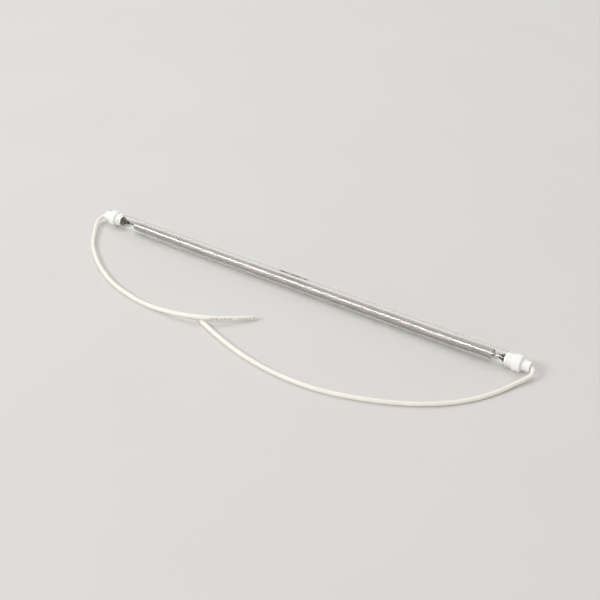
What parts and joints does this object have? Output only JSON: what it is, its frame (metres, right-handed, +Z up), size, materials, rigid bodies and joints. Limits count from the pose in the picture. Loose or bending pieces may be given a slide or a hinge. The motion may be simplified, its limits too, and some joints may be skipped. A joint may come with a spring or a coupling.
{
  "type": "quartz heat lamp element",
  "caption": "Straight infrared heating lamp for a food warmer: a coil in a clear quartz tube, a flanged ceramic cap on each end and a flexible lead from each cap.",
  "frame": {"origin": "under the middle of the lamp, on the surface that the two flanges rest on", "axes": "+X along the tube towards the right cap, +Z up, and both leads lie on the -Y side"},
  "size_m": [0.4405, 0.1177, 0.0136],
  "materials": {
    "quartz": "clear, polished fused quartz",
    "resistance_wire": "dull grey drawn alloy wire",
    "ceramic": "white, unglazed, smooth",
    "cement": "off-white, matte",
    "oxidised_steel": "heat-darkened, brown",
    "terminal_steel": "satin",
    "spring_steel": "satin",
    "nickel_plate": "nickel plated",
    "glass_sleeving": "woven glass fibre",
    "tinned_copper": "tinned strands",
    "lead_insulation": "cream, satin"
  },
  "bodies": {
    "root": {"quartz_tube": "quartz", "heating_coil": "resistance_wire", "left_end_cap": "ceramic", "left_cement_seal": "cement", "left_contact_cone": "oxidised_steel", "left_terminal_pin": "terminal_steel", "left_retaining_ring": "spring_steel", "left_crimp": "nickel_plate", "left_crimp_sleeve": "glass_sleeving", "left_core_end": "tinned_copper", "left_lead": "lead_insulation", "left_lead_tip": "tinned_copper", "right_end_cap": "ceramic", "right_cement_seal": "cement", "right_contact_cone": "oxidised_steel", "right_terminal_pin": "terminal_steel", "right_retaining_ring": "spring_steel", "right_crimp": "nickel_plate", "right_crimp_sleeve": "glass_sleeving", "right_core_end": "tinned_copper", "right_lead": "lead_insulation", "right_lead_tip": "tinned_copper"}
  },
  "joints": []
}
